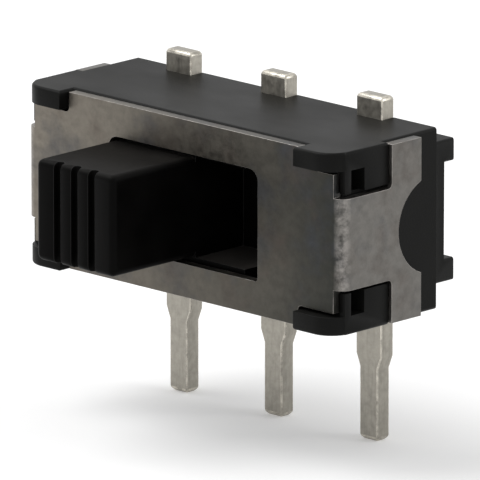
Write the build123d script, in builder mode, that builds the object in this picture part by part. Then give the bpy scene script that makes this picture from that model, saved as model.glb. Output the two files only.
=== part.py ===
from build123d import *
import math
import os

# Miniature slide switch: one pole, two positions, three in-line terminals.
# Frame: +X along the travel, to the right as seen from the knob side; +Y to the back;
# +Z up, away from the board. The origin is on the board plane (the moulding's underside),
# at the centre of the middle terminal. The slider is drawn at the left end of its travel.
# All sizes are in millimetres.

# --- moulded housing -------------------------------------------------------------------
BODY_LENGTH = 7.86        # across the two side walls
BODY_HEIGHT = 3.50
BODY_DEPTH = 2.55         # behind the cover's front sheet, without the back slab
CAVITY_WALL = 0.50        # roof and floor

LIP_THICKNESS = 0.36      # corner plates above and below the cover's front sheet
LIP_LENGTH = 1.02
LIP_PROUD = 0.20          # in front of the cover
LIP_CORNER = 0.50         # plan radius of the outer corner
EDGE_ROUND = 0.06

LUG_PROUD = 0.15          # side lugs that the cover snaps behind
LUG_HEIGHT = 0.80
LUG_REACH = 1.30          # from the cover's front face to the catching face
LUG_SETBACK = 0.15
SLOT_START = 0.30         # blind slot in each lug, from the cover's front face
SLOT_WIDTH = 0.36
SLOT_DEPTH = 0.45

SLAB_DEPTH = 0.27         # plate that backs the terminals
SLAB_INSET = 0.06
SLAB_TOP_DROP = 0.30
SLAB_BOTTOM_RISE = 0.46
SLAB_ROUND = 0.05
FOOT_LENGTH = 1.00
FOOT_HEIGHT = 0.44
FOOT_DEPTH = 0.26

# --- sheet-metal cover -----------------------------------------------------------------
SHEET = 0.20
COVER_INSET = 0.035       # below the moulding's top and above its underside
BEND_INSIDE = 0.04        # inside radius of the fold
SIDE_REACH = 2.11         # from the front face to the side panels' back edge
RELIEF_ROUND = 0.10       # inner corners of the reliefs round the lugs
FINGER_RADIUS = 0.94      # half-round relief in each side panel's back edge
FINGER_OFFSET = 0.33      # its centre lies this far behind the edge
CUT_CORNER = 0.08
WINDOW_TOP_ROUND = 0.22
WINDOW_BOTTOM_ROUND = 0.06

# --- terminals -------------------------------------------------------------------------
PITCH = 2.50
STRIP = 0.33              # thickness
SHANK_WIDTH = 0.66
PIN_WIDTH = 0.46
PIN_LENGTH = 2.75         # below the board plane
SHOULDER_START = 1.09
SHOULDER_LENGTH = 0.25
STUB_HEIGHT = 0.43        # above the moulding
STUB_CHAMFER = 0.045
TIP_CHAMFER = 0.065
PAD_WIDTH = 1.20
PAD_HEIGHT = 1.70

# --- slider ----------------------------------------------------------------------------
TRAVEL = 1.80
KNOB_LENGTH = 2.04
KNOB_HEIGHT = 1.95
KNOB_PROUD = 1.97         # in front of the cover
KNOB_EDGE = 0.13          # long edges, along the knob
KNOB_ROUND = 0.12         # edges of the face
GROOVE_PITCH = 0.45
GROOVE_WIDTH = 0.18
GROOVE_DEPTH = 0.17
GROOVE_COUNT = 3
CARRIAGE_LENGTH = 4.62    # the rails run past the knob at both ends
CARRIAGE_DEPTH = 1.73
WEB_DEPTH = 0.45          # back wall that joins the rails

# --- moving contact --------------------------------------------------------------------
LEAF = 0.10
LEAF_HEIGHT = 1.10
LEAF_SEAT = 0.90          # flat part that lies on the carriage
LEAF_BEND = 0.15
LEAF_TOE = 0.14           # turned-up end past each contact point
TOE_ANGLE = 45
PEG_DIAMETER = 0.26
PEG_SPACING = 0.62
PEG_HEAD = 0.08           # how far a peg stands through the leaf

# --- detent ----------------------------------------------------------------------------
BALL_DIAMETER = 0.76
SPRING_WIRE = 0.10
SPRING_DIAMETER = 0.70    # outside
SPRING_TURNS = 6
DETENT_DEPTH = 0.12
DETENT_RADIUS = 0.50      # of the two grooves in the roof and the two in the floor

# --- clearances ------------------------------------------------------------------------
SHEET_CLEAR = 0.02        # cover to moulding
NOTCH_CLEAR = 0.06        # cover edges to lips
LUG_CLEAR = 0.07          # cover edges to the lugs' ends, above and below
SLIDE_CLEAR = 0.02        # carriage to cover
GUIDE_CLEAR = 0.04        # carriage to roof and floor
STOP_CLEAR = 0.02         # carriage to the cavity's ends at the travel limits
WINDOW_CLEAR = 0.03       # knob to the window's ends at the travel limits
WINDOW_GAP = 0.095        # knob to the window's top and bottom
TOUCH_CLEAR = 0.01        # contact points and balls to what they rub on
PEG_CLEAR = 0.02
BORE_CLEAR = 0.02         # ball in its cross hole, radial

# --- planes and places worked out from the sizes ---------------------------------------
BACK = STRIP / 2                          # the terminals' back faces are flush with the core
SEAT_FACE = BACK - BODY_DEPTH             # where the cover's front sheet lies
COVER_FACE = SEAT_FACE - SHEET
LIP_FACE = COVER_FACE - LIP_PROUD
CONTACT_FACE = -STRIP / 2                 # back wall of the cavity, flush with the pads
MIDDLE = BODY_HEIGHT / 2
HALF_LENGTH = BODY_LENGTH / 2
CAVITY_HEIGHT = BODY_HEIGHT - 2 * CAVITY_WALL
COVER_HEIGHT = BODY_HEIGHT - 2 * COVER_INSET
BEND_HEIGHT = BODY_HEIGHT - 2 * (LUG_HEIGHT + LUG_CLEAR)   # the fold runs only between the lugs
WINDOW_HEIGHT = KNOB_HEIGHT + 2 * WINDOW_GAP
CAVITY_LENGTH = CARRIAGE_LENGTH + TRAVEL + 2 * STOP_CLEAR
LUG_END = HALF_LENGTH + LUG_PROUD
LIP_START = LUG_END - LIP_LENGTH
REST = -TRAVEL / 2                        # slider centre at the left end
SHELL_INSIDE = HALF_LENGTH + SHEET_CLEAR
SHELL_END = SHELL_INSIDE + SHEET
BEND_RADIUS = BEND_INSIDE + SHEET
WINDOW_LENGTH = KNOB_LENGTH + TRAVEL + 2 * WINDOW_CLEAR
CARRIAGE_FRONT = SEAT_FACE + SLIDE_CLEAR
CARRIAGE_BACK = CARRIAGE_FRONT + CARRIAGE_DEPTH
CARRIAGE_HEIGHT = CAVITY_HEIGHT - 2 * GUIDE_CLEAR
BORE_Y = (CARRIAGE_FRONT + CARRIAGE_BACK) / 2
BALL_REACH = CAVITY_HEIGHT / 2 - TOUCH_CLEAR - BALL_DIAMETER / 2   # ball centre from MIDDLE

os.makedirs("parts", exist_ok=True)


def finish(builder, label):
    """Name a finished piece and write it."""
    builder.part.label = label
    export_step(builder.part, f"parts/{label}.step")


def span(low, high):
    """Middle and length of a stretch."""
    return (low + high) / 2, high - low


# --- housing: one black moulding -------------------------------------------------------
with BuildPart() as housing:
    core_y, core_depth = span(SEAT_FACE, BACK)
    with BuildSketch(Plane.XY):
        with Locations((0, core_y)):
            Rectangle(BODY_LENGTH, core_depth)
    extrude(amount=BODY_HEIGHT)

    # Plate behind the terminals, and the four small feet on it.
    slab_low, slab_high = SLAB_BOTTOM_RISE, BODY_HEIGHT - SLAB_TOP_DROP
    slab_middle, slab_height = span(slab_low, slab_high)
    slab_length = BODY_LENGTH - 2 * SLAB_INSET
    with BuildSketch(Plane.XZ.offset(-BACK)):
        with Locations((0, slab_middle)):
            RectangleRounded(slab_length, slab_height, SLAB_ROUND)
    extrude(amount=-SLAB_DEPTH)
    foot_x = (slab_length - FOOT_LENGTH) / 2
    with BuildSketch(Plane.XZ.offset(-BACK - SLAB_DEPTH)):
        with Locations((0, slab_middle)):
            with GridLocations(2 * foot_x, slab_height - FOOT_HEIGHT, 2, 2):
                RectangleRounded(FOOT_LENGTH, FOOT_HEIGHT, SLAB_ROUND)
    extrude(amount=-FOOT_DEPTH)

    # Corner lips: plates that lap the cover's corners, top and bottom, both ends.
    lip_y, lip_depth = span(LIP_FACE, COVER_FACE + LUG_REACH)
    for base in (0, BODY_HEIGHT - LIP_THICKNESS):
        for side in (-1, 1):
            with BuildSketch(Plane.XY.offset(base)) as lip_plan:
                with Locations((side * (LIP_START + LUG_END) / 2, lip_y)):
                    Rectangle(LIP_LENGTH, lip_depth)
                outer_corner = lip_plan.vertices().sort_by(Axis.Y)[:2].sort_by(Axis.X)
                fillet(outer_corner[-1 if side > 0 else 0], LIP_CORNER)
            extrude(amount=LIP_THICKNESS)

    # Side lugs: the cover's side panels snap in behind their back faces.
    lug_y, lug_depth = span(COVER_FACE + LUG_SETBACK, COVER_FACE + LUG_REACH)
    for base in (0, BODY_HEIGHT - LUG_HEIGHT):
        with BuildSketch(Plane.XY.offset(base)):
            with Locations((HALF_LENGTH + LUG_PROUD / 2, lug_y), (-HALF_LENGTH - LUG_PROUD / 2, lug_y)):
                Rectangle(LUG_PROUD, lug_depth)
        extrude(amount=LUG_HEIGHT)

    # Blind slots that split each lug into a front and a back post, between lip and cover.
    slot_y = COVER_FACE + SLOT_START + SLOT_WIDTH / 2
    slot_height = LUG_HEIGHT - LIP_THICKNESS
    for base in (LIP_THICKNESS, BODY_HEIGHT - LUG_HEIGHT):
        with BuildSketch(Plane.XY.offset(base)):
            with Locations((LUG_END - SLOT_DEPTH / 2, slot_y), (-LUG_END + SLOT_DEPTH / 2, slot_y)):
                Rectangle(SLOT_DEPTH, SLOT_WIDTH)
        extrude(amount=slot_height, mode=Mode.SUBTRACT)

    # Soft outer edges on top and underneath, before the cavity is cut.
    for face in (housing.faces().sort_by(Axis.Z)[-1], housing.faces().sort_by(Axis.Z)[0]):
        rim = face.edges().filter_by(lambda edge: edge.center().Y < BACK - EDGE_ROUND)
        fillet(rim, EDGE_ROUND)

    # Cavity for the slider, open to the front and closed by the cover.
    with BuildSketch(Plane.XZ.offset(-SEAT_FACE)):
        with Locations((0, MIDDLE)):
            Rectangle(CAVITY_LENGTH, CAVITY_HEIGHT)
    extrude(amount=SEAT_FACE - CONTACT_FACE, mode=Mode.SUBTRACT)

    # Detent grooves for the balls, one pair in the roof and one in the floor.
    groove_axis = CAVITY_HEIGHT / 2 + DETENT_DEPTH - DETENT_RADIUS
    with BuildSketch(Plane.XZ.offset(-SEAT_FACE)):
        with Locations((0, MIDDLE)):
            with GridLocations(TRAVEL, 2 * groove_axis, 2, 2):
                Circle(DETENT_RADIUS)
    extrude(amount=SEAT_FACE - CARRIAGE_BACK, mode=Mode.SUBTRACT)

    # Beds of the three terminals, which are moulded in.
    for index in (-1, 0, 1):
        with BuildSketch(Plane.XZ.offset(-BACK)):
            with Locations((index * PITCH, MIDDLE)):
                Rectangle(SHANK_WIDTH, BODY_HEIGHT)
                Rectangle(PAD_WIDTH, PAD_HEIGHT)
        extrude(amount=STRIP, mode=Mode.SUBTRACT)
finish(housing, "housing")


# --- cover: one folded sheet -----------------------------------------------------------
with BuildPart() as cover:
    # Plan section of the folded sheet, at its full height.
    side_y = COVER_FACE + SIDE_REACH
    with BuildSketch(Plane.XY.offset(MIDDLE - COVER_HEIGHT / 2)) as fold:
        outer_y, outer_depth = span(COVER_FACE, side_y)
        with Locations((0, outer_y)):
            Rectangle(2 * SHELL_END, outer_depth)
        fillet(fold.vertices().sort_by(Axis.Y)[:2], BEND_RADIUS)
        inner_y, inner_depth = span(SEAT_FACE, side_y + SHEET)
        with BuildSketch(mode=Mode.PRIVATE) as inside:
            with Locations((0, inner_y)):
                Rectangle(2 * SHELL_INSIDE, inner_depth)
            fillet(inside.vertices().sort_by(Axis.Y)[:2], BEND_INSIDE)
        add(inside.sketch, mode=Mode.SUBTRACT)
    extrude(amount=COVER_HEIGHT)

    # Window for the knob: generous corners above, tight ones below.
    with BuildSketch(Plane.XZ.offset(-SEAT_FACE)) as window:
        with Locations((0, MIDDLE)):
            Rectangle(WINDOW_LENGTH, WINDOW_HEIGHT)
        fillet(window.vertices().sort_by(Axis.Y)[2:], WINDOW_TOP_ROUND)
        fillet(window.vertices().sort_by(Axis.Y)[:2], WINDOW_BOTTOM_ROUND)
    extrude(amount=SHEET, mode=Mode.SUBTRACT)

    # Relief around each lug: the sheet is cut away at the fold, above and below it.
    relief_low = HALF_LENGTH - SHEET_CLEAR
    relief_x, relief_length = span(relief_low, SHELL_END + SHEET)
    relief_y, relief_depth = span(COVER_FACE - SHEET, COVER_FACE + LUG_REACH + SHEET_CLEAR)
    relief_height = (COVER_HEIGHT - BEND_HEIGHT) / 2
    for base in (MIDDLE - COVER_HEIGHT / 2, MIDDLE + BEND_HEIGHT / 2):
        with BuildSketch(Plane.XY.offset(base)):
            with Locations((relief_x, relief_y), (-relief_x, relief_y)):
                Rectangle(relief_length, relief_depth)
        extrude(amount=relief_height, mode=Mode.SUBTRACT)
    relief_back = COVER_FACE + LUG_REACH + SHEET_CLEAR
    across = cover.edges().filter_by(Axis.X)
    at_back = across.filter_by(lambda edge: abs(edge.center().Y - relief_back) < SHEET_CLEAR / 2)
    inner_edges = at_back.filter_by(lambda edge: abs(edge.center().Z - MIDDLE) < MIDDLE - LUG_HEIGHT)
    fillet(inner_edges, RELIEF_ROUND)

    # Corner notches of the front sheet, around the lips.
    notch_low = LIP_START - NOTCH_CLEAR
    notch_x, notch_length = span(notch_low, SHELL_END)
    notch_edge = BODY_HEIGHT / 2 - LIP_THICKNESS - NOTCH_CLEAR
    notch_z, notch_height = span(notch_edge, BODY_HEIGHT / 2 + SHEET)
    with BuildSketch(Plane.XZ.offset(-SEAT_FACE)):
        with Locations((0, MIDDLE)):
            with GridLocations(2 * notch_x, 2 * notch_z, 2, 2):
                RectangleRounded(notch_length, notch_height, CUT_CORNER)
    extrude(amount=SHEET, mode=Mode.SUBTRACT)

    # Half-round relief in the back edge of each side panel.
    with BuildSketch(Plane.YZ.offset(-SHELL_END)):
        with Locations((side_y + FINGER_OFFSET, MIDDLE)):
            Circle(FINGER_RADIUS)
    extrude(amount=2 * SHELL_END, mode=Mode.SUBTRACT)
finish(cover, "cover")


# --- terminals: three like strips, left, common and right ------------------------------
for index, name in ((-1, "terminal_left"), (0, "terminal_common"), (1, "terminal_right")):
    place = Plane(origin=(index * PITCH, BACK, 0), x_dir=(1, 0, 0), z_dir=(0, -1, 0))
    with BuildPart() as terminal:
        with BuildSketch(place):
            with BuildLine():
                Polyline(
                    (-SHANK_WIDTH / 2, BODY_HEIGHT + STUB_HEIGHT),
                    (-SHANK_WIDTH / 2, -SHOULDER_START),
                    (-PIN_WIDTH / 2, -SHOULDER_START - SHOULDER_LENGTH),
                    (-PIN_WIDTH / 2, -PIN_LENGTH),
                    (PIN_WIDTH / 2, -PIN_LENGTH),
                    (PIN_WIDTH / 2, -SHOULDER_START - SHOULDER_LENGTH),
                    (SHANK_WIDTH / 2, -SHOULDER_START),
                    (SHANK_WIDTH / 2, BODY_HEIGHT + STUB_HEIGHT),
                    close=True,
                )
            make_face()
            with Locations((0, MIDDLE)):
                Rectangle(PAD_WIDTH, PAD_HEIGHT)
        extrude(amount=STRIP)
        ends = terminal.faces().filter_by(Axis.Z).sort_by(Axis.Z)
        chamfer(ends[0].edges(), TIP_CHAMFER)
        chamfer(ends[-1].edges(), STUB_CHAMFER)
    finish(terminal, name)


# --- slider: knob and carriage, one moulding -------------------------------------------
with BuildPart() as slider:
    knob_face = COVER_FACE - KNOB_PROUD
    carriage_y, carriage_depth = span(CARRIAGE_FRONT, CARRIAGE_BACK)
    with BuildSketch(Plane.XY.offset(MIDDLE - CARRIAGE_HEIGHT / 2)):
        with Locations((REST, carriage_y)):
            Rectangle(CARRIAGE_LENGTH, carriage_depth)
    extrude(amount=CARRIAGE_HEIGHT)

    # Pockets beside the knob leave two rails, flush with the knob's top and underside.
    with BuildSketch(Plane.XZ.offset(-CARRIAGE_FRONT)):
        with Locations((REST, MIDDLE)):
            Rectangle(CARRIAGE_LENGTH, KNOB_HEIGHT)
            Rectangle(KNOB_LENGTH, KNOB_HEIGHT, mode=Mode.SUBTRACT)
    extrude(amount=-(CARRIAGE_DEPTH - WEB_DEPTH), mode=Mode.SUBTRACT)

    # Knob: long edges rounded to pass the window's corners, face edges eased.
    with BuildSketch(Plane.XZ.offset(-CARRIAGE_FRONT)):
        with Locations((REST, MIDDLE)):
            RectangleRounded(KNOB_LENGTH, KNOB_HEIGHT, KNOB_EDGE)
    extrude(amount=CARRIAGE_FRONT - knob_face)
    fillet(slider.faces().sort_by(Axis.Y)[0].edges(), KNOB_ROUND)

    # Grip grooves with round bottoms, down the knob's face.
    groove_y, groove_reach = span(knob_face - GROOVE_WIDTH, knob_face + GROOVE_DEPTH)
    with BuildSketch(Plane.XY):
        with Locations((REST, groove_y)):
            with GridLocations(GROOVE_PITCH, 0, GROOVE_COUNT, 1):
                SlotOverall(groove_reach, GROOVE_WIDTH, rotation=90)
    extrude(amount=BODY_HEIGHT, mode=Mode.SUBTRACT)

    # Cross hole for the detent spring and its two balls.
    with BuildSketch(Plane.XY):
        with Locations((REST, BORE_Y)):
            Circle(BALL_DIAMETER / 2 + BORE_CLEAR)
    extrude(amount=BODY_HEIGHT, mode=Mode.SUBTRACT)

    # Pegs that carry the moving contact.
    with BuildSketch(Plane.XZ.offset(-CARRIAGE_BACK)):
        with Locations((REST, MIDDLE)):
            with GridLocations(0, PEG_SPACING, 1, 2):
                Circle(PEG_DIAMETER / 2)
    extrude(amount=-(LEAF + PEG_HEAD))
finish(slider, "slider")


# --- moving contact: a sprung leaf that bridges two pads --------------------------------
with BuildPart() as moving_contact:
    # Plan path along the middle of the leaf, left toe to right toe.
    leaf_y = CARRIAGE_BACK + LEAF / 2
    touch_y = CONTACT_FACE - TOUCH_CLEAR - LEAF / 2
    arm_slope = math.atan2(touch_y - leaf_y, (PITCH - LEAF_SEAT) / 2)
    half_turn = (math.radians(TOE_ANGLE) + arm_slope) / 2
    toe_rise = LEAF_TOE * math.tan(math.radians(TOE_ANGLE))
    point_y = touch_y + LEAF_BEND * (1 / math.cos(half_turn) - 1)
    with BuildSketch(Plane.XY.offset(MIDDLE - LEAF_HEIGHT / 2)):
        with BuildLine() as path:
            FilletPolyline(
                (REST - PITCH / 2 - LEAF_TOE, point_y - toe_rise),
                (REST - PITCH / 2, point_y),
                (REST - LEAF_SEAT / 2, leaf_y),
                (REST + LEAF_SEAT / 2, leaf_y),
                (REST + PITCH / 2, point_y),
                (REST + PITCH / 2 + LEAF_TOE, point_y - toe_rise),
                radius=LEAF_BEND,
            )
            offset(amount=LEAF / 2, kind=Kind.INTERSECTION, side=Side.BOTH)
        make_face()
    extrude(amount=LEAF_HEIGHT)
    with BuildSketch(Plane.XZ.offset(-CARRIAGE_BACK)):
        with Locations((REST, MIDDLE)):
            with GridLocations(0, PEG_SPACING, 1, 2):
                Circle(PEG_DIAMETER / 2 + PEG_CLEAR)
    extrude(amount=-LEAF, mode=Mode.SUBTRACT)
finish(moving_contact, "moving_contact")


# --- detent: a coil spring between two balls, in the carriage's cross hole --------------
spring_radius = (SPRING_DIAMETER - SPRING_WIRE) / 2
wire_to_ball = math.sqrt((BALL_DIAMETER / 2 + SPRING_WIRE / 2) ** 2 - spring_radius ** 2)
spring_length = 2 * (BALL_REACH - wire_to_ball - TOUCH_CLEAR)
with BuildPart() as detent_spring:
    with BuildLine() as coil:
        Helix(
            pitch=spring_length / SPRING_TURNS,
            height=spring_length,
            radius=spring_radius,
            center=(REST, BORE_Y, MIDDLE - spring_length / 2),
        )
    with BuildSketch(Plane(origin=coil.line @ 0, z_dir=coil.line % 0)):
        Circle(SPRING_WIRE / 2)
    sweep(path=coil.line, is_frenet=True)
finish(detent_spring, "detent_spring")

for side, name in ((-1, "detent_ball_lower"), (1, "detent_ball_upper")):
    with BuildPart() as ball:
        with BuildSketch(Plane.XZ.offset(-BORE_Y)):
            with Locations((REST, MIDDLE + side * BALL_REACH)):
                Circle(BALL_DIAMETER / 2)
                Rectangle(BALL_DIAMETER, BALL_DIAMETER, align=(Align.MAX, Align.CENTER), mode=Mode.SUBTRACT)
        revolve(axis=Axis((REST, BORE_Y, 0), (0, 0, 1)))
    finish(ball, name)
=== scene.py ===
import math

import bmesh
import bpy
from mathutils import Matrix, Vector


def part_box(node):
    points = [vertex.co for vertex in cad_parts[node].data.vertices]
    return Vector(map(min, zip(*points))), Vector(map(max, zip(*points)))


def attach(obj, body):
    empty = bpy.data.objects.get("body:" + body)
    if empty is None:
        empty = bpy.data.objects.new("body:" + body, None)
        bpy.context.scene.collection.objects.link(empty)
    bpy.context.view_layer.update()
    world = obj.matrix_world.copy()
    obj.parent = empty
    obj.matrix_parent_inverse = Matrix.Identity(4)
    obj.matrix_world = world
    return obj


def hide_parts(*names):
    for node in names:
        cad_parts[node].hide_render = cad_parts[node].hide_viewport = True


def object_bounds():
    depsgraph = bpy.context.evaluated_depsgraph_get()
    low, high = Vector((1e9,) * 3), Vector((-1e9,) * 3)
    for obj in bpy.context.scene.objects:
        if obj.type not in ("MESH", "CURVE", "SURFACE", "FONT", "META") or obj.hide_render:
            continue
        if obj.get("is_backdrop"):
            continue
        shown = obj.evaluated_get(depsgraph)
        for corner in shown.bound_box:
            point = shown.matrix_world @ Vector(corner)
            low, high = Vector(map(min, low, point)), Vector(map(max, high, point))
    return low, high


bl_info = {
    "name": "Miniature Slide Switch",
    "version": (1, 0, 0),
    "blender": (4, 5, 0),
    "location": "View3D > Sidebar > Switch",
    "description": "Finishes the mouldings, plated sheet and terminals of a board-mounted slide switch",
    "category": "Object",
}

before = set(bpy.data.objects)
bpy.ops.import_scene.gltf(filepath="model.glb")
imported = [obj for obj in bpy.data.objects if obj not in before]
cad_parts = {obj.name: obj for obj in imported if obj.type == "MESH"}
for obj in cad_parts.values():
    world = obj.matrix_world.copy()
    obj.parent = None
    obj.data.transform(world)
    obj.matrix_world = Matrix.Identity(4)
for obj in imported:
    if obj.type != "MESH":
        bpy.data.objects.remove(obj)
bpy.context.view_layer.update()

MM = 0.001
TERMINALS = ("terminal_left", "terminal_common", "terminal_right")
BALLS = ("detent_ball_lower", "detent_ball_upper")

# Meshes
MERGE_DISTANCE = 0.0002 * MM
FLAT_ANGLE = math.radians(0.5)      # faces closer than this become one
SHARP_ANGLE = math.radians(40)      # edges sharper than this are rounded over
SPLIT_ANGLE = math.radians(50)      # edges still sharper than this are shaded sharp
EDGE_SLOT = 1                       # material slot of the rounded edges

# Finishes
FOLD_FRONT = 0.02 * MM              # the fold's band, from the cover's front face
FOLD_BACK = 0.24 * MM
SHEET_DEPTH = 0.20 * MM             # from the cover's front face to its back
SHADING_DRIFT = 0.8 * MM              # how far the stain noise pushes the border of the painted shading on the front sheet
TOP_LIGHT = 4.5                          # how much lighter the slider's upward faces are painted: painted light from above
INNER_TOP_LIGHT = 22.0                   # the same on the rails behind the cover, painted much lighter where little light falls

# Stage
FLOOR_REACH = 400 * MM
FLOOR_GLOW = 0.25                   # lifts the paper to white where it is seen or mirrored
ROOM_GREY = (0.55, 0.55, 0.55, 1)   # the room's light on the switch
ROOM_WHITE = (1, 1, 1, 1)           # the room where it is seen or mirrored
LAMP_AIM = (0, -1.3 * MM, 1.5 * MM)
BODY_MIDDLE = (0, -1.385 * MM, 1.75 * MM)
AIM_RIGHT = 0.233 * MM              # the view's middle, from the body's
AIM_DOWN = 0.812 * MM
SENSOR_WIDTH = 36                   # millimetres, as the lens is
NEAR_CLIP = 10 * MM
FAR_CLIP = 5


# --- sizes and colours that a user would change ------------------------------------------
class SwitchEdges(bpy.types.PropertyGroup):
    """Edge breaks of each kind of piece."""
    moulding: bpy.props.FloatProperty(
        name="Moulding edge", description="Edge break of the black moulding",
        default=0.022 * MM, min=0, precision=6, unit="LENGTH")
    sheet: bpy.props.FloatProperty(
        name="Sheet edge", description="Rolled edge that the die leaves on the sheet",
        default=0.040 * MM, min=0, precision=6, unit="LENGTH")
    knob: bpy.props.FloatProperty(
        name="Knob edge", description="Edge break of the slider",
        default=0.025 * MM, min=0, precision=6, unit="LENGTH")
    terminal: bpy.props.FloatProperty(
        name="Terminal edge", description="Rounded edge of the tinned strips",
        default=0.030 * MM, min=0, precision=6, unit="LENGTH")


def colour(name, description, value):
    """A colour setting."""
    return bpy.props.FloatVectorProperty(
        name=name, description=description, subtype="COLOR", size=3, min=0, max=1, default=value)


class SwitchColours(bpy.types.PropertyGroup):
    """Linear colours of the finishes."""
    moulding: colour("Moulding", "Black glass-filled nylon", (0.0046, 0.0046, 0.0042))
    knob: colour("Knob", "Deep black of the slider", (0.0014, 0.0013, 0.0012))
    plate: colour("Plate", "Bare plated sheet, as on the side panels", (0.130, 0.124, 0.115))
    # Lit end and shaded end: painted light and shade along the front sheet, lighter at the left end and
    # darker towards the right.
    plate_lit_end: colour("Lit end", "Brighter, lit end of the front sheet", (0.172, 0.155, 0.131))
    plate_shaded_end: colour("Dim end", "Darker, dim end of the front sheet", (0.028, 0.029, 0.026))
    # Fold: a painted highlight on the folds, also used on the sheet's rounded edges.
    plate_fold_highlight: colour("Fold", "Highlighted, bright plating on the folds", (0.33, 0.31, 0.29))
    plate_cool: colour("Cool stain", "Blue-grey blotches in the plating", (0.050, 0.053, 0.062))
    plate_warm: colour("Warm stain", "Brown-grey blotches in the plating", (0.070, 0.055, 0.047))
    tin: colour("Tin", "Dull tin plate of the terminals", (0.350, 0.330, 0.288))
    bronze: colour("Bronze", "Moving contact", (0.60, 0.38, 0.20))
    steel: colour("Steel", "Spring and balls", (0.50, 0.50, 0.49))


class SwitchStage(bpy.types.PropertyGroup):
    """Camera and floor."""
    azimuth: bpy.props.FloatProperty(
        name="Azimuth", description="Camera's turn round the switch",
        default=math.radians(44.3), subtype="ANGLE", unit="ROTATION")
    elevation: bpy.props.FloatProperty(
        name="Elevation", description="Camera's height above the horizon",
        default=math.radians(14.5), subtype="ANGLE", unit="ROTATION")
    distance: bpy.props.FloatProperty(
        name="Distance", description="Camera to the middle of the body",
        default=276 * MM, unit="LENGTH")
    view_width: bpy.props.FloatProperty(
        name="View width", description="Width that the camera sees at the switch",
        default=9.0 * MM, precision=6, unit="LENGTH")
    floor: colour("Floor", "Plain white paper", (0.90, 0.90, 0.90))


# --- materials ----------------------------------------------------------------------------
class Finish:
    """A Principled material, with its nodes added one by one."""

    def __init__(self, name, metallic, specular):
        self.material = bpy.data.materials.new(name)
        self.material.use_nodes = True
        self.nodes = self.material.node_tree.nodes
        self.links = self.material.node_tree.links
        self.shader = self.nodes["Principled BSDF"]
        self.shader.inputs["Metallic"].default_value = metallic
        self.shader.inputs["Specular IOR Level"].default_value = specular
        self.place = self.nodes.new("ShaderNodeTexCoord").outputs["Object"]

    def join(self, source, target):
        """Links an output to an input."""
        self.links.new(source, target)

    def feed(self, source, target):
        """Links an output to an input, or sets the input to a value."""
        if isinstance(source, bpy.types.NodeSocket):
            self.join(source, target)
        else:
            target.default_value = source

    def set(self, name, source):
        """Links an output to an input of the shader."""
        self.join(source, self.shader.inputs[name])

    def place_parts(self):
        """X, Y and Z of the point, in metres."""
        node = self.nodes.new("ShaderNodeSeparateXYZ")
        self.join(self.place, node.inputs["Vector"])
        return node.outputs

    def upward(self):
        """How far each face looks up, from -1 to 1."""
        node = self.nodes.new("ShaderNodeSeparateXYZ")
        self.join(self.place.node.outputs["Normal"], node.inputs["Vector"])
        return node.outputs["Z"]

    def noise(self, size, detail=2.0, stretch=(1, 1, 1), roughness=0.5, offset=(0, 0, 0)):
        """Noise with features of about this size in metres; stretch lengthens them by axis."""
        mapping = self.nodes.new("ShaderNodeMapping")
        mapping.inputs["Scale"].default_value = [1 / (size * pull) for pull in stretch]
        mapping.inputs["Location"].default_value = offset
        self.join(self.place, mapping.inputs["Vector"])
        texture = self.nodes.new("ShaderNodeTexNoise")
        texture.inputs["Scale"].default_value = 1
        texture.inputs["Detail"].default_value = detail
        texture.inputs["Roughness"].default_value = roughness
        self.join(mapping.outputs["Vector"], texture.inputs["Vector"])
        return texture.outputs["Fac"]

    def remap(self, value, low, high, to_low=0.0, to_high=1.0):
        """The value's stretch from low to high, spread over another."""
        node = self.nodes.new("ShaderNodeMapRange")
        node.inputs["From Min"].default_value = low
        node.inputs["From Max"].default_value = high
        node.inputs["To Min"].default_value = to_low
        node.inputs["To Max"].default_value = to_high
        self.join(value, node.inputs["Value"])
        return node.outputs["Result"]

    def blend(self, factor, first, second):
        """Mixes two colours, given as values or outputs, by a factor."""
        node = self.nodes.new("ShaderNodeMix")
        node.data_type = "RGBA"
        self.join(factor, node.inputs[0])
        for tint, target in ((first, node.inputs[6]), (second, node.inputs[7])):
            self.feed(tint if isinstance(tint, bpy.types.NodeSocket) else (*tint, 1), target)
        return node.outputs[2]

    def combine(self, operation, first, second):
        """Arithmetic on two values, given as numbers or outputs."""
        node = self.nodes.new("ShaderNodeMath")
        node.operation = operation
        self.feed(first, node.inputs[0])
        self.feed(second, node.inputs[1])
        return node.outputs[0]

    def bump(self, height, depth, strength):
        """Fine relief of this depth in metres."""
        node = self.nodes.new("ShaderNodeBump")
        node.inputs["Distance"].default_value = depth
        node.inputs["Strength"].default_value = strength
        self.join(height, node.inputs["Height"])
        self.join(node.outputs["Normal"], self.shader.inputs["Normal"])

    def brightened(self, tint, amount):
        """A colour times an amount, which is a number or an output."""
        node = self.nodes.new("ShaderNodeVectorMath")
        node.operation = "SCALE"
        self.join(tint, node.inputs[0])
        self.feed(amount, node.inputs["Scale"])
        return node.outputs[0]


def scaled(tint, amount):
    """A colour made lighter or darker."""
    return tuple(min(1.0, part * amount) for part in tint)


def moulding_finish(tints):
    """Glass-filled nylon: fine grain, faint flow clouds, slightly greyer in patches."""
    finish = Finish("black_moulding", metallic=0, specular=0.09)
    clouds = finish.noise(1.3 * MM, detail=3, stretch=(1.6, 1, 1))
    grain = finish.noise(0.035 * MM, detail=3)
    cloudy = finish.remap(clouds, 0.35, 0.7)
    tint = finish.blend(cloudy, scaled(tints.moulding, 0.8), scaled(tints.moulding, 1.35))
    speckle = finish.remap(grain, 0.62, 0.78)
    finish.set("Base Color", finish.blend(speckle, tint, scaled(tints.moulding, 2.2)))
    finish.set("Roughness", finish.remap(clouds, 0.3, 0.7, 0.40, 0.50))
    finish.bump(grain, 0.004 * MM, 0.6)
    return finish.material


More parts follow.
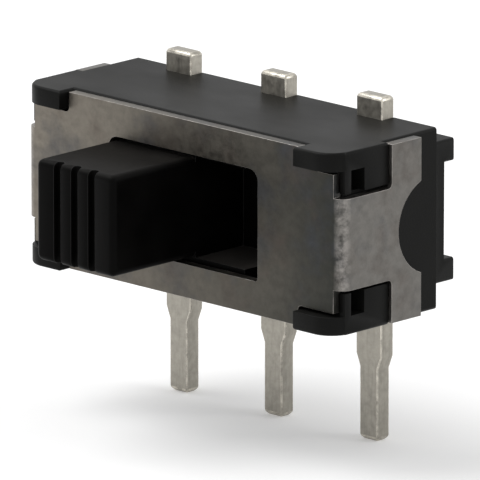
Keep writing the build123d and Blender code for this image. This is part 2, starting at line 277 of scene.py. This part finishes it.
def knob_finish(tints):
    """The slider's deeper black, with painted light on its upward faces, far stronger on the rails
    behind the cover.
    """
    finish = Finish("black_knob", metallic=0, specular=0.04)
    clouds = finish.noise(0.7 * MM, detail=3)
    grain = finish.noise(0.03 * MM, detail=2)
    tint = finish.blend(finish.remap(clouds, 0.35, 0.7), tints.knob, scaled(tints.knob, 1.7))
    # Painted light: upward faces are painted lighter, by a larger amount deeper behind the cover's
    # front face.
    lit_top = finish.remap(finish.upward(), 0.5, 0.95)
    cover_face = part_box("cover")[0].y
    depth = finish.place_parts()["Y"]
    top_lift = finish.remap(depth, cover_face, cover_face + SHEET_DEPTH, TOP_LIGHT, INNER_TOP_LIGHT)
    finish.set("Base Color", finish.blend(lit_top, tint, finish.brightened(tint, top_lift)))
    finish.set("Roughness", finish.remap(clouds, 0.3, 0.7, 0.38, 0.52))
    finish.bump(grain, 0.003 * MM, 0.5)
    return finish.material


def plate_finish(tints):
    """Dull plated sheet: mottled, with cool and warm stains and rolling marks; painted shading runs
    along the front sheet from a lit left end to a darker right end, and the folds carry a painted
    highlight.
    """
    finish = Finish("plated_sheet", metallic=1, specular=0.5)
    mottle = finish.noise(0.20 * MM, detail=4, roughness=0.65)
    cool = finish.noise(0.95 * MM, detail=4, roughness=0.6, offset=(3.1, 0.4, 1.7))
    warm = finish.noise(0.80 * MM, detail=4, roughness=0.6, offset=(8.3, 2.6, 5.2))
    rolling = finish.noise(0.03 * MM, detail=2, stretch=(14, 14, 1))
    low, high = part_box("cover")
    across, depth = finish.place_parts()[:2]
    # Painted shading: the front sheet is painted from its lit end to its shaded end along X, with the
    # border moved by the stain noise; the side panels keep the bare plate colour.
    wander = finish.remap(cool, 0.2, 0.8, -SHADING_DRIFT, SHADING_DRIFT)
    along = finish.remap(finish.combine("ADD", across, wander), low.x, high.x)
    front = finish.blend(along, tints.plate_lit_end, tints.plate_shaded_end)
    behind = finish.remap(depth, low.y + FOLD_FRONT, low.y + FOLD_BACK)
    tint = finish.blend(behind, front, tints.plate)
    tint = finish.blend(finish.remap(cool, 0.50, 0.72, 0, 0.6), tint, tints.plate_cool)
    tint = finish.blend(finish.remap(warm, 0.52, 0.75, 0, 0.5), tint, tints.plate_warm)
    # Painted highlight: the folds at both ends of the front sheet are painted bright, patchy with the
    # mottle.
    from_middle = finish.combine("ABSOLUTE", across, 0)
    outward = finish.remap(from_middle, high.x - FOLD_BACK, high.x - FOLD_FRONT)
    fold = finish.combine("MULTIPLY", outward, finish.combine("SUBTRACT", 1, behind))
    patchy_fold_highlight = finish.combine("MULTIPLY", fold, finish.remap(mottle, 0.3, 0.6))
    tint = finish.blend(patchy_fold_highlight, tint, tints.plate_fold_highlight)
    tint = finish.blend(finish.remap(mottle, 0.35, 0.68), tint, finish.brightened(tint, 1.36))
    finish.set("Base Color", tint)
    finish.set("Roughness", finish.remap(mottle, 0.3, 0.7, 0.36, 0.52))
    relief = finish.combine("ADD", mottle, finish.combine("MULTIPLY", rolling, 0.35))
    finish.bump(relief, 0.006 * MM, 0.5)
    return finish.material


def edge_finish(name, tint, metallic, specular, roughness):
    """A slightly smoother edge of a piece, painted a lighter colour than its faces as a highlight along
    the rounded edge, uneven along its length.
    """
    finish = Finish(name, metallic, specular)
    edge_noise = finish.noise(0.16 * MM, detail=3, roughness=0.6)
    highlight_spread = finish.remap(edge_noise, 0.35, 0.65)
    # Painted highlight, varied along the edge by the noise.
    finish.set("Base Color", finish.blend(highlight_spread, scaled(tint, 0.65), scaled(tint, 1.3)))
    finish.set("Roughness", finish.remap(edge_noise, 0.3, 0.7, roughness, roughness + 0.12))
    finish.bump(edge_noise, 0.003 * MM, 0.5)
    return finish.material


def tin_finish(tints):
    """Dull tin over brass: soft crystals, drawn streaks along the strip."""
    finish = Finish("tinned_terminal", metallic=1, specular=0.5)
    crystals = finish.noise(0.12 * MM, detail=3, roughness=0.6)
    streaks = finish.noise(0.05 * MM, detail=2, stretch=(1, 1, 10))
    grains = finish.remap(crystals, 0.3, 0.7)
    tint = finish.blend(grains, scaled(tints.tin, 0.85), scaled(tints.tin, 1.15))
    drawn = finish.remap(streaks, 0.5, 0.75, 0, 0.5)
    finish.set("Base Color", finish.blend(drawn, tint, scaled(tints.tin, 0.7)))
    finish.set("Roughness", finish.remap(crystals, 0.3, 0.7, 0.30, 0.46))
    finish.bump(finish.combine("ADD", crystals, streaks), 0.004 * MM, 0.5)
    return finish.material


def drawn_metal_finish(name, tint, low_roughness, high_roughness):
    """Bright strip, wire or ball metal with fine polishing marks."""
    finish = Finish(name, metallic=1, specular=0.5)
    marks = finish.noise(0.04 * MM, detail=3, stretch=(5, 1, 1))
    polished = finish.remap(marks, 0.3, 0.7)
    finish.set("Base Color", finish.blend(polished, scaled(tint, 0.85), scaled(tint, 1.1)))
    finish.set("Roughness", finish.remap(marks, 0.3, 0.7, low_roughness, high_roughness))
    finish.bump(marks, 0.002 * MM, 0.4)
    return finish.material


# --- shapes -------------------------------------------------------------------------------
def eased_piece(node, edge, segments):
    """The node's form as one clean mesh with its sharp edges rounded over."""
    shape = bmesh.new()
    shape.from_mesh(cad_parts[node].data)
    bmesh.ops.remove_doubles(shape, verts=shape.verts, dist=MERGE_DISTANCE)
    bmesh.ops.dissolve_limit(
        shape, angle_limit=FLAT_ANGLE, verts=shape.verts, edges=shape.edges, delimit=set())
    sharp = [e for e in shape.edges if e.is_manifold and e.calc_face_angle() > SHARP_ANGLE]
    rounded = bmesh.ops.bevel(
        shape, geom=sharp, offset=edge, offset_type="OFFSET", affect="EDGES",
        segments=segments, profile=0.5, material=-1, clamp_overlap=True)
    for face in rounded["faces"]:
        face.material_index = EDGE_SLOT
    mesh = bpy.data.meshes.new(f"{node}_body")
    shape.to_mesh(mesh)
    shape.free()
    mesh.shade_smooth()
    mesh.set_sharp_from_angle(angle=SPLIT_ANGLE)
    piece = bpy.data.objects.new(mesh.name, mesh)
    bpy.context.collection.objects.link(piece)
    weighted = piece.modifiers.new("flat_faces", "WEIGHTED_NORMAL")
    weighted.keep_sharp = True
    weighted.weight = 100
    return piece


def dress(piece, finishes, body, node):
    """Gives a piece its face and edge finishes and its body, and hides the node it stands for."""
    for material in finishes:
        piece.data.materials.append(material)
    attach(piece, body)
    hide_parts(node)


def paint(node, material):
    """Gives a carried-over node its finish."""
    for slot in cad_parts[node].material_slots:
        slot.material = material


# --- operators ----------------------------------------------------------------------------
class SWITCH_OT_moulding(bpy.types.Operator):
    """Make the black moulded housing"""
    bl_idname = "switch.moulding"
    bl_label = "Housing"

    def execute(self, context):
        piece = eased_piece("housing", context.scene.switch_edges.moulding, segments=2)
        tints = context.scene.switch_colours
        # Painted highlight: the moulding's edges are painted slightly lighter than its faces.
        edge = edge_finish("moulding_edge_highlight", scaled(tints.moulding, 1.3), 0, 0.20, 0.36)
        dress(piece, (moulding_finish(tints), edge), "base", "housing")
        return {"FINISHED"}


class SWITCH_OT_cover(bpy.types.Operator):
    """Make the folded sheet cover"""
    bl_idname = "switch.cover"
    bl_label = "Cover"

    def execute(self, context):
        piece = eased_piece("cover", context.scene.switch_edges.sheet, segments=3)
        tints = context.scene.switch_colours
        # Painted highlight: the sheet's rounded edges take the bright fold colour.
        edge = edge_finish("plate_edge_highlight", tints.plate_fold_highlight, 1, 0.5, 0.30)
        dress(piece, (plate_finish(tints), edge), "base", "cover")
        return {"FINISHED"}


class SWITCH_OT_slider(bpy.types.Operator):
    """Make the slider with its ribbed knob"""
    bl_idname = "switch.slider"
    bl_label = "Slider"

    def execute(self, context):
        piece = eased_piece("slider", context.scene.switch_edges.knob, segments=2)
        tints = context.scene.switch_colours
        # Painted highlight: the slider's edges, the ribs' edges among them, are painted lighter than
        # its black.
        edge = edge_finish("knob_edge_highlight", scaled(tints.knob, 2.5), 0, 0.3, 0.36)
        dress(piece, (knob_finish(tints), edge), "slider", "slider")
        return {"FINISHED"}


class SWITCH_OT_terminals(bpy.types.Operator):
    """Make the three tinned terminals"""
    bl_idname = "switch.terminals"
    bl_label = "Terminals"

    def execute(self, context):
        tints = context.scene.switch_colours
        tin = tin_finish(tints)
        # Painted highlight: the terminals' rounded edges are painted lighter than the tin.
        edge = edge_finish("terminal_edge_highlight", scaled(tints.tin, 1.5), 1, 0.5, 0.20)
        for node in TERMINALS:
            piece = eased_piece(node, context.scene.switch_edges.terminal, segments=3)
            dress(piece, (tin, edge), "base", node)
        return {"FINISHED"}


class SWITCH_OT_inner_set(bpy.types.Operator):
    """Finish the moving contact, the detent spring and the balls"""
    bl_idname = "switch.inner_set"
    bl_label = "Inner set"

    def execute(self, context):
        tints = context.scene.switch_colours
        paint("moving_contact", drawn_metal_finish("contact_bronze", tints.bronze, 0.22, 0.34))
        paint("detent_spring", drawn_metal_finish("spring_wire", tints.steel, 0.20, 0.32))
        ball_steel = drawn_metal_finish("ball_steel", tints.steel, 0.06, 0.12)
        for node in BALLS:
            paint(node, ball_steel)
        return {"FINISHED"}


def soft_lamp(name, position, size, power):
    """A soft square lamp, aimed at the switch."""
    lamp = bpy.data.lights.new(name, "AREA")
    lamp.size = size
    lamp.energy = power
    holder = bpy.data.objects.new(name, lamp)
    holder.location = position
    holder.rotation_euler = (Vector(LAMP_AIM) - Vector(position)).to_track_quat("-Z", "Y").to_euler()
    holder.visible_camera = False
    bpy.context.collection.objects.link(holder)


class SWITCH_OT_stage(bpy.types.Operator):
    """Make the floor, the light and the camera"""
    bl_idname = "switch.stage"
    bl_label = "Stage"

    def execute(self, context):
        stage = context.scene.switch_stage
        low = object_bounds()[0]
        self.floor(stage, low.z)
        self.surroundings(context.scene)
        self.lamps()
        self.camera(context.scene, stage)
        context.scene.view_settings.view_transform = "Standard"
        return {"FINISHED"}

    def floor(self, stage, height):
        """A wide white sheet at the tips of the terminals."""
        shape = bmesh.new()
        bmesh.ops.create_grid(shape, x_segments=1, y_segments=1, size=FLOOR_REACH)
        bmesh.ops.translate(shape, verts=shape.verts, vec=(0, 0, height))
        mesh = bpy.data.meshes.new("floor")
        shape.to_mesh(mesh)
        shape.free()
        floor = bpy.data.objects.new("floor", mesh)
        bpy.context.collection.objects.link(floor)
        paper = Finish("white_paper", metallic=0, specular=0.0)
        fibre = paper.noise(1.5 * MM, detail=2)
        paper.set("Base Color", paper.blend(fibre, stage.floor, scaled(stage.floor, 1.02)))
        paper.shader.inputs["Roughness"].default_value = 0.9
        light_path = paper.nodes.new("ShaderNodeLightPath")
        rays = light_path.outputs
        seen = paper.combine("MAXIMUM", rays["Is Camera Ray"], rays["Is Glossy Ray"])
        paper.shader.inputs["Emission Color"].default_value = (1, 1, 1, 1)
        paper.set("Emission Strength", paper.combine("MULTIPLY", seen, FLOOR_GLOW))
        mesh.materials.append(paper.material)
        floor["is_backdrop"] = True

    def surroundings(self, scene):
        """Even grey light all round, which shows as white where it is seen or mirrored."""
        world = bpy.data.worlds.new("studio")
        world.use_nodes = True
        scene.world = world
        nodes, links = world.node_tree.nodes, world.node_tree.links
        background = nodes["Background"]
        light_path = nodes.new("ShaderNodeLightPath")
        seen = light_path.outputs["Is Camera Ray"]
        for ray in ("Is Glossy Ray", "Is Transmission Ray"):
            either = nodes.new("ShaderNodeMath")
            either.operation = "MAXIMUM"
            links.new(seen, either.inputs[0])
            links.new(light_path.outputs[ray], either.inputs[1])
            seen = either.outputs[0]
        mix = nodes.new("ShaderNodeMix")
        mix.data_type = "RGBA"
        links.new(seen, mix.inputs[0])
        mix.inputs[6].default_value = ROOM_GREY
        mix.inputs[7].default_value = ROOM_WHITE
        links.new(mix.outputs[2], background.inputs["Color"])

    def lamps(self):
        """A large soft lamp above and to the left, and a weaker one on the right."""
        soft_lamp("key", (-60 * MM, -40 * MM, 120 * MM), size=90 * MM, power=0.10)
        soft_lamp("fill", (110 * MM, 60 * MM, 60 * MM), size=70 * MM, power=0.03)

    def camera(self, scene, stage):
        """A long lens that looks at the front right of the switch from a little above."""
        turn, rise = stage.azimuth, stage.elevation
        level = math.cos(rise)
        back = Vector((math.sin(turn) * level, -math.cos(turn) * level, math.sin(rise)))
        right = Vector((math.cos(turn), math.sin(turn), 0))
        up = back.cross(right)
        aim = Vector(BODY_MIDDLE) + right * AIM_RIGHT - up * AIM_DOWN
        data = bpy.data.cameras.new("camera")
        data.sensor_width = SENSOR_WIDTH
        data.lens = data.sensor_width * stage.distance / stage.view_width
        data.clip_start = NEAR_CLIP
        data.clip_end = FAR_CLIP
        camera = bpy.data.objects.new("camera", data)
        camera.location = aim + back * stage.distance
        camera.rotation_euler = (-back).to_track_quat("-Z", "Y").to_euler()
        bpy.context.collection.objects.link(camera)
        scene.camera = camera


class SWITCH_PT_panel(bpy.types.Panel):
    """Steps and settings of the slide switch"""
    bl_idname = "SWITCH_PT_panel"
    bl_label = "Slide Switch"
    bl_space_type = "VIEW_3D"
    bl_region_type = "UI"
    bl_category = "Switch"

    def draw(self, context):
        for step in STEPS:
            self.layout.operator(step.bl_idname)
        scene = context.scene
        for settings in (scene.switch_edges, scene.switch_colours, scene.switch_stage):
            box = self.layout.box()
            for name in settings.__annotations__:
                box.prop(settings, name)


STEPS = (SWITCH_OT_moulding, SWITCH_OT_cover, SWITCH_OT_slider, SWITCH_OT_terminals,
         SWITCH_OT_inner_set, SWITCH_OT_stage)
CLASSES = (SwitchEdges, SwitchColours, SwitchStage, *STEPS, SWITCH_PT_panel)


def register():
    """Add the settings, steps and panel."""
    for kind in CLASSES:
        bpy.utils.register_class(kind)
    bpy.types.Scene.switch_edges = bpy.props.PointerProperty(type=SwitchEdges)
    bpy.types.Scene.switch_colours = bpy.props.PointerProperty(type=SwitchColours)
    bpy.types.Scene.switch_stage = bpy.props.PointerProperty(type=SwitchStage)


def unregister():
    """Take them away again."""
    for settings in ("switch_edges", "switch_colours", "switch_stage"):
        delattr(bpy.types.Scene, settings)
    for kind in reversed(CLASSES):
        bpy.utils.unregister_class(kind)


def main():
    """Make every piece and the stage."""
    register()
    bpy.ops.switch.moulding()
    bpy.ops.switch.cover()
    bpy.ops.switch.slider()
    bpy.ops.switch.terminals()
    bpy.ops.switch.inner_set()
    bpy.ops.switch.stage()


if __name__ == "__main__":
    main()
